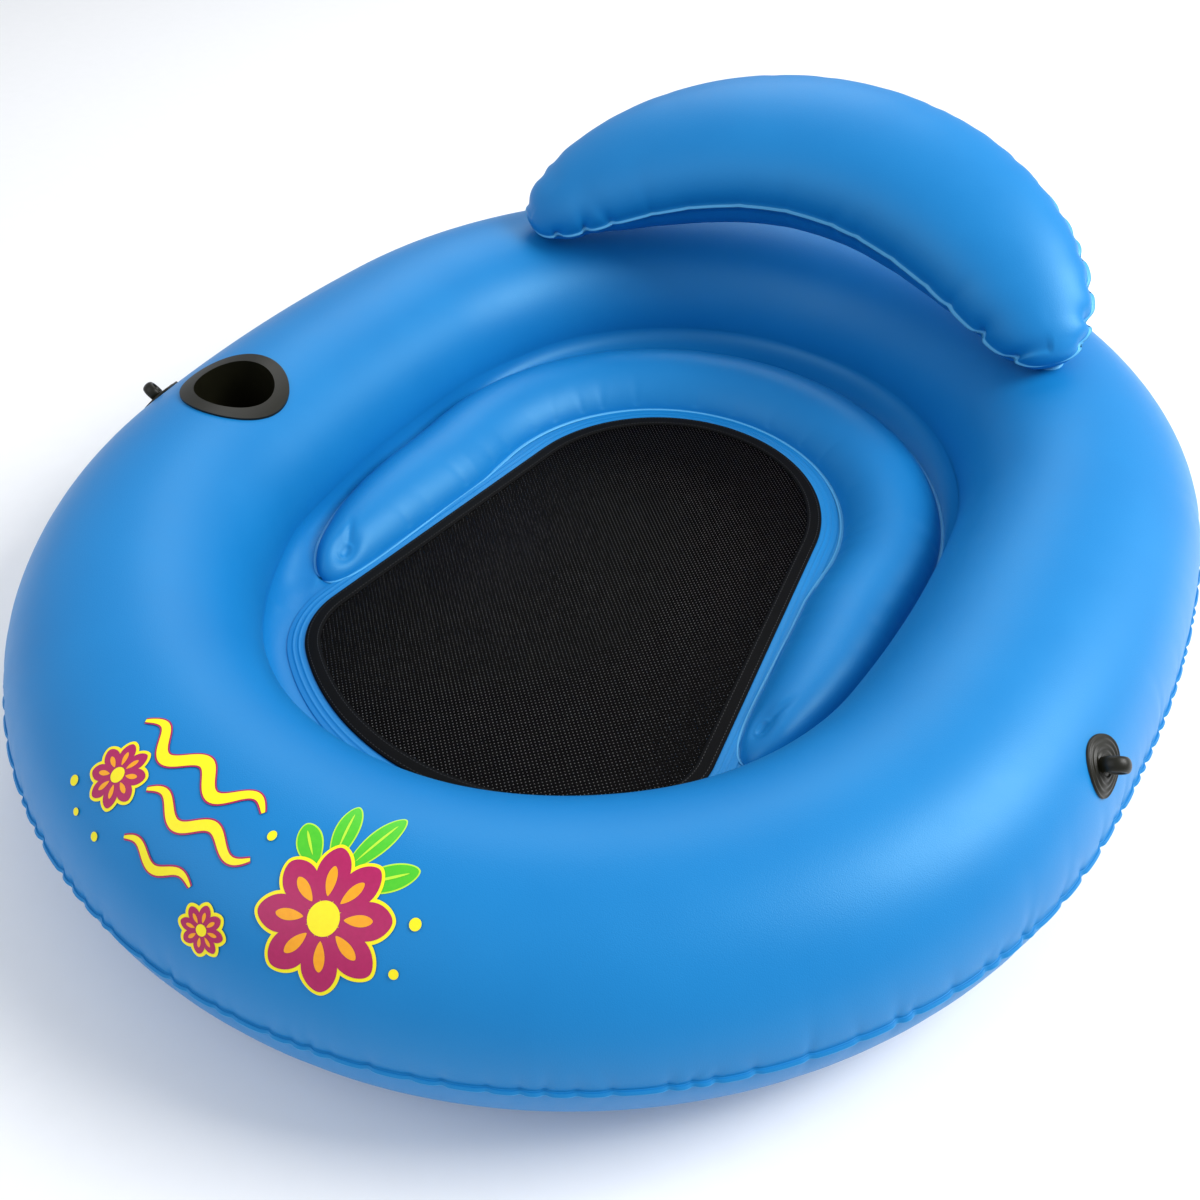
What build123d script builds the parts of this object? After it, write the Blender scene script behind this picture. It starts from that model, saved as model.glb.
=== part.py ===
from build123d import *
import math
import os

# Inflatable pool float: an oval air tube with a mesh seat, an inner horseshoe bolster and a
# raised crescent pillow. The sitter faces -Y, the pillow is at +Y, +Z is up and the floor is z = 0.
# All sizes are in millimetres.

# Ring tube, on a four-arc oval centreline
HALF_WIDTH = 454.0          # centreline half-width, X
HALF_LENGTH = 571.5         # centreline half-length, Y
END_RADIUS = 446.0          # centreline radius round the front and rear ends
TUBE_HALF_W = 123.5         # tube section half-width
TUBE_HALF_H = 111.0         # tube section half-height
REST_FLAT = 2.0             # depth by which the tube flattens where it lies on the ground
FILM = 1.2                  # thickness of the vinyl panels
OUTER_FLANGE = 9.0          # weld margin that stands out at the outer seam
INNER_FLANGE = 16.0         # weld margin that stands in at the inner seam
OUTER_SEAM_RISE = 8.0       # outer seam above the middle of the tube
DECK_Z = 60.0               # height of the inner seam
LENGTH_TURN = 34.0          # most degrees of an end that one length of a ring panel turns through
SIDE_REACH = 1.6            # how far the fittings' side of the tube is carried, in side half-angles

TUBE_Z = TUBE_HALF_H - REST_FLAT
SIDE_RADIUS = ((HALF_WIDTH**2 + HALF_LENGTH**2 - 2 * HALF_LENGTH * END_RADIUS)
               / (2 * (HALF_WIDTH - END_RADIUS)))
END_CENTRE_Y = HALF_LENGTH - END_RADIUS
SIDE_CENTRE_X = SIDE_RADIUS - HALF_WIDTH
SIDE_HALF_ANGLE = math.degrees(math.atan2(END_CENTRE_Y, SIDE_CENTRE_X))

# Mesh seat
SEAT_REAR_RADIUS = 187.0
SEAT_REAR_Y = 88.0
SEAT_CORNER = (240.0, -286.0)
SEAT_FRONT_Y = -400.0
SEAT_CORNER_FILLET = 95.0
MESH_T = 1.4
TAPE_WIDTH = 17.0
TAPE_T = 1.2
BAND_WIDTH = 20.0           # welded blue band round the mesh
SEAT_LAP = 8.0              # how far the deck reaches in under the binding tape

# Bolster
BOLSTER_RADIUS = 320.0      # outer seam round the rear
BOLSTER_Y = 82.0
BOLSTER_WIDTH = 103.0
BOLSTER_HEIGHT = 46.0
BOLSTER_WAIST = (275.0, -60.0, 44.0)    # middle X, Y and half-width of an arm
BOLSTER_TIP = (268.0, -222.0, 14.0)     # the same at its tip

# Pillow
PILLOW_Y = 488.0            # middle of the crescent
PILLOW_Z = 352.0
PILLOW_TILT = 27.0          # its plane rises towards the rear
PILLOW_RADIUS = 420.0
PILLOW_HALF_ARC = 55.5
PILLOW_HALF_W = 98.0
PILLOW_HALF_T = 55.0
PILLOW_DROOP = 44.0         # how far the ends curve down
PILLOW_FULLNESS = 2.5       # power of the curve along which the section shrinks to the ends
PILLOW_END = 0.975          # part of the half-arc that the panels' sections cover
PILLOW_CAVITY_END = 0.969   # the same for the space inside them
PILLOW_SECTIONS = 13
PILLOW_LENGTHS = 4          # solids that each panel is made of, end to end
TAB_PLACE = (330.0, 366.0)
TAB_SIZE = (52.0, 44.0)
TAB_T = 2.0

# Cup holder
CUP_INSET = 13.0            # from the crest of the tube towards the seat
CUP_Y = -142.0
CUP_RADIUS = 45.0
CUP_WALL = 2.2
CUP_DEPTH = 96.0
CUP_FLANGE = 61.0
CUP_FLANGE_T = 2.6

# Rope eyelets
EYELET_Y = -162.0
EYELET_ANGLE = 36.6         # place on the tube's oval section, above its middle
EYELET_TURN = 44.0          # long axis of the base, turned from straight up the tube
EYELET_HALF = (31.0, 19.0)  # half-sizes of the oval base
EYELET_BASE_T = 2.4
LUG_HEIGHT = 19.0
LUG_WIDTH = 22.0
LUG_T = 12.0
LUG_HOLE_R = 6.0
LUG_HOLE_UP = 9.5           # hole's middle above the tube's surface

# Inflation valves
VALVE_BASE_R = 17.0
VALVE_BASE_T = 1.6
VALVE_NECK_R = 8.0
VALVE_BORE_R = 5.0
VALVE_RISE = 4.0
VALVE_DEPTH = 9.0
PLUG_TOP_R = 4.9
PLUG_TIP_R = 3.6
PLUG_DEPTH = 5.0
PLUG_CAP_R = 7.6
PLUG_CAP_T = 2.0
STRAP_REACH = 13.0          # from the valve's axis to the strap's root
STRAP_WIDTH = 5.0
STRAP_T = 1.2
FLAP_R = 6.6
FLAP_T = 0.9
RING_VALVE_TURN = 68.0      # round the rear end, from +X
RING_VALVE_ANGLE = -38.0    # on the tube's oval section
BOLSTER_VALVE_Y = 350.0
PILLOW_VALVE_PART = 0.28    # of the pillow's half-arc
PILLOW_VALVE_ANGLE = -48.0  # on the pillow's oval section
GAP = 0.3                   # between pieces that move against each other


def half_ellipse_point(half_w, half_h, degrees):
    angle = math.radians(degrees)
    return half_w * math.cos(angle), half_h * math.sin(angle)


def tube_section(inset):
    """Tube section, flattened where it lies on the ground and shrunk by inset."""
    oval = Ellipse(TUBE_HALF_W - inset, TUBE_HALF_H - inset)
    low = inset - TUBE_Z
    keep = Pos(0, low + TUBE_HALF_H) * Rectangle(4 * TUBE_HALF_W, 2 * TUBE_HALF_H)
    return oval & keep


def above_seams():
    """Region above a line that steps from the inner seam up to the outer seam."""
    inner, outer = DECK_Z - TUBE_Z, OUTER_SEAM_RISE
    far, near, top = 2 * TUBE_HALF_W, 0.6 * TUBE_HALF_W, 2 * TUBE_HALF_H
    return make_face(Polyline((-far, inner), (-near, inner), (near, outer), (far, outer),
                              (far, top), (-far, top), close=True))


def seam_margin(outer_z, inner_z):
    """The two weld margins of one panel, as their lower faces' heights say."""
    outer_wall = TUBE_HALF_W * math.sqrt(1 - (OUTER_SEAM_RISE / TUBE_HALF_H)**2)
    inner_wall = TUBE_HALF_W * math.sqrt(1 - ((DECK_Z - TUBE_Z) / TUBE_HALF_H)**2)
    out_w, in_w = OUTER_FLANGE + FILM / 2, INNER_FLANGE + FILM / 2
    outer = Pos(outer_wall - FILM / 2 + out_w / 2, outer_z + FILM / 2) * Rectangle(out_w, FILM)
    inner = Pos(-inner_wall + FILM / 2 - in_w / 2, inner_z + FILM / 2) * Rectangle(in_w, FILM)
    return outer + inner


def tube_span(profile, centre, radius, start, arc):
    """Revolves a section, drawn about the centreline, round one arc of the oval."""
    angle = math.radians(start)
    plane = Plane(origin=(centre[0], centre[1], TUBE_Z),
                  x_dir=(math.cos(angle), math.sin(angle), 0),
                  z_dir=(math.sin(angle), -math.cos(angle), 0))
    face = plane * Pos(radius, 0) * profile
    return revolve(face, Axis((centre[0], centre[1], 0), (0, 0, 1)), arc)


def ring_arcs():
    """Centre, radius, start and angle of the four arcs of the oval centreline."""
    side, end = 2 * SIDE_HALF_ANGLE, 180 - 2 * SIDE_HALF_ANGLE
    return [((0, END_CENTRE_Y), END_RADIUS, SIDE_HALF_ANGLE, end),
            ((SIDE_CENTRE_X, 0), SIDE_RADIUS, 180 - SIDE_HALF_ANGLE, side),
            ((0, -END_CENTRE_Y), END_RADIUS, 180 + SIDE_HALF_ANGLE, end),
            ((-SIDE_CENTRE_X, 0), SIDE_RADIUS, -SIDE_HALF_ANGLE, side)]


def ring_lengths(profile, longest):
    """Carries a section round the oval, in lengths that meet end to end."""
    lengths = []
    for centre, radius, start, arc in ring_arcs():
        count = math.ceil(arc / longest)
        step = arc / count
        lengths += [tube_span(profile, centre, radius, start + i * step, step)
                    for i in range(count)]
    return lengths


def round_ring(profile):
    """Carries a section all the way round the oval centreline, as one solid."""
    return Part() + ring_lengths(profile, 180)


def oval_face(inset):
    """Plan outline of the oval centreline, moved inwards by inset."""
    arcs = [CenterArc(centre, radius - inset, start, arc)
            for centre, radius, start, arc in ring_arcs()]
    return make_face(Curve() + arcs)


def seat_face(grow):
    """Outline of the mesh seat, moved outwards by grow: round rear, straight sides, wide front."""
    dx, dy = SEAT_CORNER[0], SEAT_CORNER[1] - SEAT_REAR_Y
    touch = math.atan2(dy, dx) + math.acos(SEAT_REAR_RADIUS / math.hypot(dx, dy))
    tx = SEAT_REAR_RADIUS * math.cos(touch)
    ty = SEAT_REAR_Y + SEAT_REAR_RADIUS * math.sin(touch)
    cx, cy = SEAT_CORNER
    face = make_face(Curve() + [
        ThreePointArc((tx, ty), (0, SEAT_REAR_Y + SEAT_REAR_RADIUS), (-tx, ty)),
        Line((-tx, ty), (-cx, cy)),
        ThreePointArc((-cx, cy), (0, SEAT_FRONT_Y), (cx, cy)),
        Line((cx, cy), (tx, ty))])
    corners = face.vertices().sort_by(Axis.Y)[:2]
    face = fillet(corners, SEAT_CORNER_FILLET)
    return offset(face, grow) if grow else face


def sheet(face, z, thickness):
    return extrude(Pos(0, 0, z) * face, thickness)


def tube_frame(y, angle, turn=0.0):
    """Surface frame on the right side of the tube: Z outwards, X up the tube, turned rearwards."""
    crest = SIDE_RADIUS * math.cos(math.asin(y / SIDE_RADIUS)) - SIDE_CENTRE_X
    across, height = half_ellipse_point(TUBE_HALF_W, TUBE_HALF_H, angle)
    normal = Vector(across / TUBE_HALF_W**2, 0, height / TUBE_HALF_H**2).normalized()
    up_tube, rearwards = Vector(-normal.Z, 0, normal.X), Vector(0, 1, 0)
    x_dir = up_tube * math.cos(math.radians(turn)) + rearwards * math.sin(math.radians(turn))
    return Plane(origin=(crest + across, y, TUBE_Z + height), x_dir=x_dir, z_dir=normal)


def ring_panels():
    """Top and bottom panels of the ring, each with its weld margins, in short lengths."""
    wall = tube_section(0) - tube_section(FILM)
    top = (wall & above_seams()) + seam_margin(OUTER_SEAM_RISE, DECK_Z - TUBE_Z)
    bottom = (wall - above_seams()) + seam_margin(OUTER_SEAM_RISE - FILM, DECK_Z - TUBE_Z - FILM)
    return ring_lengths(top, LENGTH_TURN), ring_lengths(bottom, LENGTH_TURN)


def seat_sheets():
    """Deck sheet, welded band, mesh and its binding tape."""
    deck_z = DECK_Z + FILM
    inner_wall = TUBE_HALF_W * math.sqrt(1 - ((deck_z + FILM - TUBE_Z) / TUBE_HALF_H)**2)
    deck = sheet(oval_face(inner_wall + GAP) - seat_face(-SEAT_LAP), deck_z, FILM)
    band = sheet(seat_face(BAND_WIDTH) - seat_face(GAP), deck_z + FILM, FILM)
    tape_z = deck_z + FILM
    held = seat_face(-TAPE_WIDTH / 4)
    tape = sheet(seat_face(0) - seat_face(-TAPE_WIDTH), tape_z, 2 * TAPE_T + MESH_T)
    tape -= sheet(held, tape_z + TAPE_T, MESH_T)
    mesh = sheet(held, tape_z + TAPE_T, MESH_T)
    return deck, band, tape, mesh


def bolster_arch(middle_x, y, half_w, height, shrink):
    """Half-oval section of the bolster, standing on the deck across the line of Y."""
    plane = Plane(origin=(middle_x, y, DECK_Z + 2 * FILM), x_dir=(1, 0, 0), z_dir=(0, -1, 0))
    oval = Ellipse(half_w - shrink, height - shrink)
    return plane * (oval & (Pos(0, height) * Rectangle(4 * half_w, 2 * height)))


def bolster_body(shrink):
    """The horseshoe, shrunk by shrink: a half turn round the rear and two tapering arms."""
    half = BOLSTER_WIDTH / 2
    middle = BOLSTER_RADIUS - half
    start = bolster_arch(middle, BOLSTER_Y, half, BOLSTER_HEIGHT, shrink)
    waist = bolster_arch(*BOLSTER_WAIST, BOLSTER_HEIGHT, shrink)
    tip_x, tip_y, tip_half = BOLSTER_TIP
    tip = bolster_arch(tip_x, tip_y + 2 * shrink, tip_half, tip_half, shrink)
    rear = revolve(start, Axis((0, BOLSTER_Y, 0), (0, 0, 1)), 180)
    arm = loft([start, waist], ruled=True) + loft([waist, tip], ruled=True)
    return rear + arm + mirror(arm, Plane.YZ)


def pillow_frame(part):
    """Section plane of the pillow at part (-1 to 1) of its half-arc, and the section's scale."""
    arc = math.radians(PILLOW_HALF_ARC * part)
    tilt = math.radians(PILLOW_TILT)
    back = Vector(0, math.cos(tilt), math.sin(tilt))
    up = Vector(0, -math.sin(tilt), math.cos(tilt))
    across = Vector(1, 0, 0)
    middle = (Vector(0, PILLOW_Y, PILLOW_Z) + across * (PILLOW_RADIUS * math.sin(arc))
              + back * (PILLOW_RADIUS * (math.cos(arc) - 1)) - up * (PILLOW_DROOP * part**2))
    radial = across * math.sin(arc) + back * math.cos(arc)
    plane = Plane(origin=middle, x_dir=radial, z_dir=radial.cross(up))
    return plane, (1 - abs(part)**PILLOW_FULLNESS)**(1 / PILLOW_FULLNESS)


def pillow_stations(limit):
    """Places of the sections along the half-arc, closer together towards the ends."""
    turns = [math.pi * (i / (PILLOW_SECTIONS - 1) - 0.5) for i in range(PILLOW_SECTIONS)]
    return [max(-limit, min(limit, PILLOW_END * math.sin(turn))) for turn in turns]


def pillow_stretch(side, stations, hollow):
    """A stretch of the pillow on one side of its seam: an arched wall, or solid at a tip."""
    sections = []
    for part in stations:
        plane, scale = pillow_frame(part)
        outer = (PILLOW_HALF_W * scale, PILLOW_HALF_T * scale)
        inner = (outer[0] - FILM, outer[1] - FILM)
        edges = [EllipticalCenterArc((0, 0), *outer, 0, arc_size=180 * side)]
        if hollow:
            edges.append(EllipticalCenterArc((0, 0), *inner, 0, arc_size=180 * side))
            edges.append(Line((inner[0], 0), (outer[0], 0)))
            edges.append(Line((-outer[0], 0), (-inner[0], 0)))
        else:
            edges.append(Line((-outer[0], 0), (outer[0], 0)))
        sections.append(plane * make_face(Curve() + edges))
    return loft(sections)


def pillow_panel(side):
    """One panel of the pillow, as lengths that meet end to end, closed at the tips."""
    stations = pillow_stations(PILLOW_CAVITY_END)
    step = (PILLOW_SECTIONS - 1) // PILLOW_LENGTHS
    starts = range(0, PILLOW_SECTIONS - 1, step)
    lengths = [pillow_stretch(side, stations[i:i + step + 1], True) for i in starts]
    lengths[0] += pillow_stretch(side, [-PILLOW_END, -PILLOW_CAVITY_END], False)
    lengths[-1] += pillow_stretch(side, [PILLOW_CAVITY_END, PILLOW_END], False)
    return lengths


def pillow_tab(side):
    """Weld tab on the ring under one end of the pillow."""
    skin = Ellipse(TUBE_HALF_W + TAB_T, TUBE_HALF_H + TAB_T) - Ellipse(TUBE_HALF_W, TUBE_HALF_H)
    start = SIDE_HALF_ANGLE if side > 0 else 90
    layer = tube_span(skin, (0, END_CENTRE_Y), END_RADIUS, start, 90 - SIDE_HALF_ANGLE)
    column = Pos(side * TAB_PLACE[0], TAB_PLACE[1], TUBE_Z + TUBE_HALF_H) * Box(*TAB_SIZE, TUBE_HALF_H)
    return layer & column


def grown_side(thickness):
    """The right side of the tube, made thicker by thickness."""
    section = Ellipse(TUBE_HALF_W + thickness, TUBE_HALF_H + thickness)
    return tube_span(section, (-SIDE_CENTRE_X, 0), SIDE_RADIUS,
                     -SIDE_REACH * SIDE_HALF_ANGLE, 2 * SIDE_REACH * SIDE_HALF_ANGLE)


def cup_frame():
    """Frame of the cup's mouth, on the left side of the tube."""
    angle = math.degrees(math.acos(-CUP_INSET / TUBE_HALF_W))
    right = tube_frame(CUP_Y, angle)
    flip = Vector(-1, 1, 1)
    return Plane(origin=Vector(*[a * b for a, b in zip(right.origin, flip)]), x_dir=(0, 1, 0),
                 z_dir=Vector(*[a * b for a, b in zip(right.z_dir, flip)]))


def cup_holder(ring_body):
    """One-piece moulded cup insert: a flange that follows the tube, and a well."""
    frame = cup_frame()
    lid = mirror(grown_side(CUP_FLANGE_T), Plane.YZ)
    flange = (lid & extrude(frame * Circle(CUP_FLANGE), CUP_RADIUS, both=True)) - ring_body
    outer = CUP_RADIUS + CUP_WALL
    well = lid & (frame * Pos(0, 0, -CUP_DEPTH / 2) * Cylinder(outer, 2 * CUP_DEPTH))
    well -= frame * Pos(0, 0, -1.5 * CUP_DEPTH) * Cylinder(2 * outer, CUP_DEPTH)
    bore = frame * Pos(0, 0, CUP_WALL) * Cylinder(CUP_RADIUS, 2 * CUP_DEPTH)
    return flange + well - bore


def cup_hole():
    """The hole in the ring's top panel that the cup's well goes through."""
    return cup_frame() * Cylinder(CUP_RADIUS + CUP_WALL, CUP_DEPTH)


def rope_eyelet(ring_body):
    """Right-hand eyelet: an oval moulded base with a bridge that the rope goes through."""
    frame = tube_frame(EYELET_Y, EYELET_ANGLE, EYELET_TURN)
    grown = grown_side(EYELET_BASE_T)
    base = grown & extrude(frame * Ellipse(*EYELET_HALF), LUG_HEIGHT, both=True)
    round_r = LUG_WIDTH / 2
    straight = 2 * (LUG_HEIGHT - round_r)
    lug = Box(LUG_T, LUG_WIDTH, straight)
    lug += Pos(0, 0, straight / 2) * Rot(0, 90, 0) * Cylinder(round_r, LUG_T)
    hole = Pos(0, 0, LUG_HOLE_UP) * Rot(0, 90, 0) * Cylinder(LUG_HOLE_R, 2 * LUG_T)
    return base + frame * lug - ring_body - frame * hole


def ring_valve_frame():
    """Frame on the underside of the ring's rear end: X along the tube, Z outwards."""
    turn = math.radians(RING_VALVE_TURN)
    out, height = half_ellipse_point(TUBE_HALF_W, TUBE_HALF_H, RING_VALVE_ANGLE)
    radial = Vector(math.cos(turn), math.sin(turn), 0)
    origin = Vector(0, END_CENTRE_Y, TUBE_Z + height) + radial * (END_RADIUS + out)
    normal = radial * (out / TUBE_HALF_W**2) + Vector(0, 0, height / TUBE_HALF_H**2)
    return Plane(origin=origin, x_dir=(-radial.Y, radial.X, 0), z_dir=normal)


def bolster_valve_frame():
    return Plane(origin=(0, BOLSTER_VALVE_Y, DECK_Z + FILM), x_dir=(1, 0, 0), z_dir=(0, 0, -1))


def pillow_valve_frame():
    """Frame on the back of the pillow's bottom panel."""
    section, scale = pillow_frame(PILLOW_VALVE_PART)
    half_w, half_t = PILLOW_HALF_W * scale, PILLOW_HALF_T * scale
    x, y = half_ellipse_point(half_w, half_t, PILLOW_VALVE_ANGLE)
    normal = (section.x_dir * (x / half_w**2) + section.y_dir * (y / half_t**2)).normalized()
    origin = section.from_local_coords(Vector(x, y, 0)) + normal * GAP
    return Plane(origin=origin, x_dir=section.z_dir, z_dir=normal)


def valve_body():
    """Welded-in valve: base flange, neck, strap post and the lug that the flap hangs on."""
    length = VALVE_RISE + VALVE_DEPTH
    middle = (VALVE_RISE - VALVE_DEPTH) / 2
    body = Pos(0, 0, VALVE_BASE_T / 2) * Cylinder(VALVE_BASE_R, VALVE_BASE_T)
    body += Pos(0, 0, middle) * Cylinder(VALVE_NECK_R, length)
    root_z = VALVE_RISE + STRAP_T / 2
    post_top = root_z - STRAP_T / 2 - GAP
    body += (Pos(-STRAP_REACH, 0, (VALVE_BASE_T + post_top) / 2)
             * Box(2 * STRAP_T, STRAP_WIDTH, post_top - VALVE_BASE_T))
    return body - Pos(0, 0, middle) * Cylinder(VALVE_BORE_R, 2 * length)


def valve_plug():
    """Stopper with its cap, finger tab and strap, all one moulding."""
    seat = VALVE_RISE + GAP / 3
    nose = Pos(0, 0, seat - PLUG_DEPTH / 2) * Cone(PLUG_TIP_R, PLUG_TOP_R, PLUG_DEPTH)
    cap = Pos(0, 0, seat + PLUG_CAP_T / 2) * Cylinder(PLUG_CAP_R, PLUG_CAP_T)
    strap = (Pos(-STRAP_REACH / 2, 0, seat + STRAP_T / 2)
             * Box(STRAP_REACH, STRAP_WIDTH, STRAP_T))
    root = Pos(-STRAP_REACH, 0, seat + STRAP_T / 2) * Rot(90, 0, 0) * Cylinder(
        STRAP_T / 2, STRAP_WIDTH)
    finger = (Pos(PLUG_CAP_R, 0, seat + PLUG_CAP_T - STRAP_T / 2)
              * Box(2 * STRAP_WIDTH, STRAP_WIDTH, STRAP_T))
    return nose + cap + strap + root + finger


def valve_flap():
    """Check flap under the inner end of the neck."""
    top = -VALVE_DEPTH - GAP / 3
    return Pos(0, 0, top - FLAP_T / 2) * Cylinder(FLAP_R, FLAP_T)


def valve_hole():
    return Cylinder(VALVE_NECK_R, 2 * VALVE_DEPTH)


def drilled(lengths, hole):
    """The lengths of a panel as one piece, with a hole through it."""
    return Compound([solid for length in lengths for solid in (length - hole).solids()])


def build():
    """Every piece of the float, by name."""
    ring_body = round_ring(tube_section(0))
    ring_top, ring_bottom = ring_panels()
    deck, band, tape, mesh = seat_sheets()
    frames = {"ring": ring_valve_frame(), "bolster": bolster_valve_frame(),
              "pillow": pillow_valve_frame()}
    eyelet = rope_eyelet(ring_body)
    parts = {
        "ring_top_panel": drilled(ring_top, cup_hole()),
        "ring_bottom_panel": drilled(ring_bottom, frames["ring"] * valve_hole()),
        "seat_deck_sheet": deck - frames["bolster"] * valve_hole(),
        "seat_weld_band": band,
        "mesh_binding_tape": tape,
        "mesh_seat_panel": mesh,
        "bolster_top_panel": bolster_body(0) - bolster_body(FILM),
        "pillow_top_panel": Compound(pillow_panel(1)),
        "pillow_bottom_panel": drilled(pillow_panel(-1), frames["pillow"] * valve_hole()),
        "pillow_tab_right": pillow_tab(1),
        "pillow_tab_left": pillow_tab(-1),
        "cup_holder": cup_holder(ring_body),
        "rope_eyelet_right": eyelet,
        "rope_eyelet_left": mirror(eyelet, Plane.YZ),
    }
    for place, frame in frames.items():
        parts[place + "_valve_body"] = frame * valve_body()
        parts[place + "_valve_plug"] = frame * valve_plug()
        parts[place + "_valve_flap"] = frame * valve_flap()
    return parts


os.makedirs("parts", exist_ok=True)
for name, solid in build().items():
    export_step(solid, f"parts/{name}.step")
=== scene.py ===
import math

import bpy
import numpy as np
from mathutils import Matrix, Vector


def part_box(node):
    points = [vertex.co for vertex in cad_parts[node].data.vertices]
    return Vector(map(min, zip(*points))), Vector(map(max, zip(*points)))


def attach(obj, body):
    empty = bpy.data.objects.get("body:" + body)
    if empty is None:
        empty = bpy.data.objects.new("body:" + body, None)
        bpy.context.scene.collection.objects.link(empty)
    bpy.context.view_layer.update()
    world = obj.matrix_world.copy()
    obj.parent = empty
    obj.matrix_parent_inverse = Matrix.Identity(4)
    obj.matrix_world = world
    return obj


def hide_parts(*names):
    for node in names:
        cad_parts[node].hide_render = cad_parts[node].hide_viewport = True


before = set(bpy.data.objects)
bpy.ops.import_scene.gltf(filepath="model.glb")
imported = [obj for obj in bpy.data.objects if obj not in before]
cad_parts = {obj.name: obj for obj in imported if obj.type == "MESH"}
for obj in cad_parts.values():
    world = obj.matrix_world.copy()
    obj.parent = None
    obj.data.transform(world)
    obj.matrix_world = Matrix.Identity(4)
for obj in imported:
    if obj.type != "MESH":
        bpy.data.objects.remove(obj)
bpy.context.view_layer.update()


# ---- Camera ----------------------------------------------------------------------------------
# A standing person's view of the float from its front right, with the pillow at the far end.

CAMERA_PLACE = (0.5255, -0.9708, 0.9795)
CAMERA_AZIMUTH = 33.27
CAMERA_ELEVATION = 42.23
CAMERA_ROLL = -1.47

camera = bpy.data.objects.new("camera", bpy.data.cameras.new("camera"))
bpy.context.scene.collection.objects.link(camera)
camera.data.lens = 37.35
camera.data.sensor_width = 36.0
camera.data.shift_x = 0.0451
camera.data.shift_y = 0.0018
camera.matrix_world = (Matrix.Translation(CAMERA_PLACE)
                       @ Matrix.Rotation(math.radians(CAMERA_AZIMUTH), 4, "Z")
                       @ Matrix.Rotation(math.radians(90 - CAMERA_ELEVATION), 4, "X")
                       @ Matrix.Rotation(math.radians(CAMERA_ROLL), 4, "Z"))
bpy.context.scene.camera = camera


# ---- Floor and studio lights -----------------------------------------------------------------
# A wide sheet of pale matt board, under a large soft light at the float's right, two weaker
# ones over its left front and left rear, and an even pale sky. Colours are shown unfiltered.

BOARD_HALF = 6.0
BOARD_PALE = "FBFBFA"
SKY_PALE = "EEF2FA"


def linear(code):
    """Linear colour of an sRGB hex code."""
    parts = [int(code[i:i + 2], 16) / 255 for i in (0, 2, 4)]
    return [p / 12.92 if p <= 0.04045 else ((p + 0.055) / 1.055) ** 2.4 for p in parts] + [1.0]


def new_finish(name):
    """An empty material."""
    finish = bpy.data.materials.new(name)
    finish.use_nodes = True
    finish.node_tree.nodes.clear()
    return finish


def add(finish, kind, inputs=None, **properties):
    """Adds a node. inputs are its sockets by name or number, as values or as outputs to link."""
    node = finish.node_tree.nodes.new(kind)
    for name, value in properties.items():
        setattr(node, name, value)
    for name, value in (inputs or {}).items():
        if isinstance(value, bpy.types.NodeSocket):
            finish.node_tree.links.new(value, node.inputs[name])
        else:
            node.inputs[name].default_value = value
    return node


def new_piece(name, points, faces, finish, smooth=True):
    """A mesh object of its own from its points and faces."""
    mesh = bpy.data.meshes.new(name)
    mesh.from_pydata([tuple(p) for p in points], [], faces)
    mesh.materials.append(finish)
    mesh.polygons.foreach_set("use_smooth", [smooth] * len(mesh.polygons))
    mesh.update()
    piece = bpy.data.objects.new(name, mesh)
    bpy.context.scene.collection.objects.link(piece)
    return piece


# Pale board: matt coated paper, rolled smooth, so it only scatters light.
board = new_finish("pale_board_matt")
place = add(board, "ShaderNodeTexCoord")
fibre = add(board, "ShaderNodeTexNoise", {"Vector": place.outputs["Object"], "Scale": 40.0})
tint = add(board, "ShaderNodeMix", {"Factor": fibre.outputs["Fac"], "A": linear(BOARD_PALE),
                                    "B": linear("F8F8F7")}, data_type="RGBA")
shader = add(board, "ShaderNodeBsdfPrincipled", {"Base Color": tint.outputs["Result"],
                                                 "Roughness": 0.9})
add(board, "ShaderNodeOutputMaterial", {"Surface": shader.outputs[0]})

corners = [(-1, -1), (1, -1), (1, 1), (-1, 1)]
floor = new_piece("floor_board", [(x * BOARD_HALF, y * BOARD_HALF, -0.0005) for x, y in corners],
                  [(0, 1, 2, 3)], board, smooth=False)


def soft_light(name, place, aim, size, watts, colour):
    """A square area light at a place, turned to shine on aim."""
    light = bpy.data.objects.new(name, bpy.data.lights.new(name, "AREA"))
    bpy.context.scene.collection.objects.link(light)
    light.data.size = size
    light.data.energy = watts
    light.data.color = linear(colour)[:3]
    back = np.subtract(place, aim)
    turn = math.atan2(back[0], -back[1])
    tilt = math.atan2(math.hypot(back[0], back[1]), back[2])
    light.matrix_world = (Matrix.Translation(place) @ Matrix.Rotation(turn, 4, "Z")
                          @ Matrix.Rotation(tilt, 4, "X"))


soft_light("key_light", (2.1, 0.9, 2.2), (0.1, 0, 0.1), 1.5, 90.0, "FFFFFF")
soft_light("front_light", (-1.4, -2.2, 2.4), (0, -0.1, 0.1), 2.2, 20.0, "F4F8FF")
soft_light("rear_light", (-1.2, 2.2, 2.4), (0, 0.2, 0.2), 1.8, 22.0, "FFFFFF")

world = bpy.data.worlds.new("studio")
bpy.context.scene.world = world
world.use_nodes = True
world.node_tree.nodes["Background"].inputs["Color"].default_value = linear(SKY_PALE)
world.node_tree.nodes["Background"].inputs["Strength"].default_value = 0.66
bpy.context.scene.view_settings.view_transform = "Standard"


# ---- Ring tube -------------------------------------------------------------------------------
# Two panels of blue PVC film, high-frequency welded along an outer seam a little above the
# middle of the tube and an inner seam at the deck. Air stretches them tight, and the flat-cut
# film gathers into small puckers along the outer seam, whose trimmed margin lies down a little.

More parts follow.
